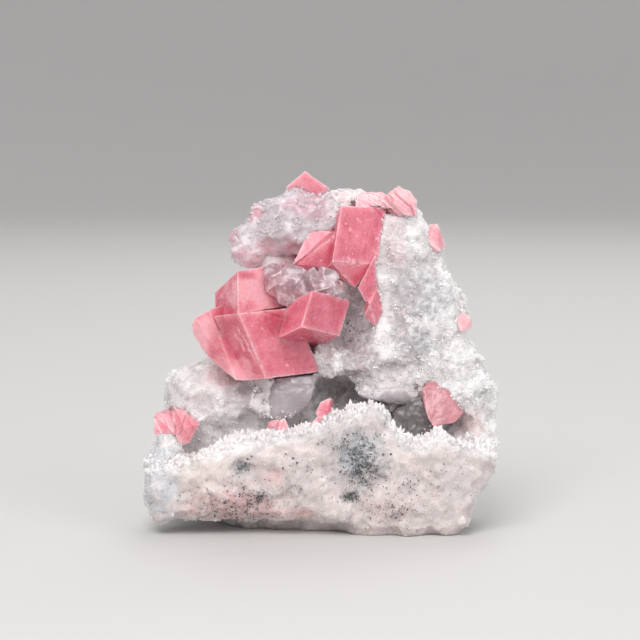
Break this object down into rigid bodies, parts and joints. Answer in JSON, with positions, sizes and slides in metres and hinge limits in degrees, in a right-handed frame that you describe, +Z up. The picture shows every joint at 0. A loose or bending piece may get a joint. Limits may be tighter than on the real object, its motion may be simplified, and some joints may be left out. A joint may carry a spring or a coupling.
{
  "type": "rhodochrosite mineral specimen",
  "caption": "Hand-sized mineral cluster: pink rhombohedral crystals on a druse-coated white quartz matrix, broken flat underneath so that it stands.",
  "frame": {"origin": "middle of the bounding box at the level of the flat break that the stone rests on", "axes": "+Z up, -Y towards the side with the toothed shelf and the large pink crystals, +X along the shelf to the side of the high wall"},
  "size_m": [0.0556, 0.0314, 0.054],
  "materials": {
    "quartz_matrix": "sugary white druse with grey, pink and cream patches",
    "milky_quartz": "milky, half see-through lumps",
    "clear_crystals": "glassy, slightly lilac",
    "grey_crystals": "smooth grey, slightly see-through",
    "rhodochrosite": "glassy rose pink with lighter edges",
    "pale_rhodochrosite": "pale pink, waxy to glassy"
  },
  "bodies": {
    "root": {"quartz_matrix": "quartz_matrix", "milky_quartz_lobes": "milky_quartz", "clear_crystals": "clear_crystals", "grey_crystal_plate": "grey_crystals", "grey_pocket_crystals": "grey_crystals", "main_rhomb_cluster": "rhodochrosite", "upper_rhomb_cluster": "rhodochrosite", "top_crystal": "rhodochrosite", "top_cleaved_mass": "pale_rhodochrosite", "left_edge_crystals": "pale_rhodochrosite", "shelf_crystal_small": "pale_rhodochrosite", "shelf_crystal_tall": "pale_rhodochrosite", "pocket_pink_crystal": "pale_rhodochrosite", "right_edge_crystal": "pale_rhodochrosite", "right_face_crystal": "pale_rhodochrosite"}
  },
  "joints": []
}
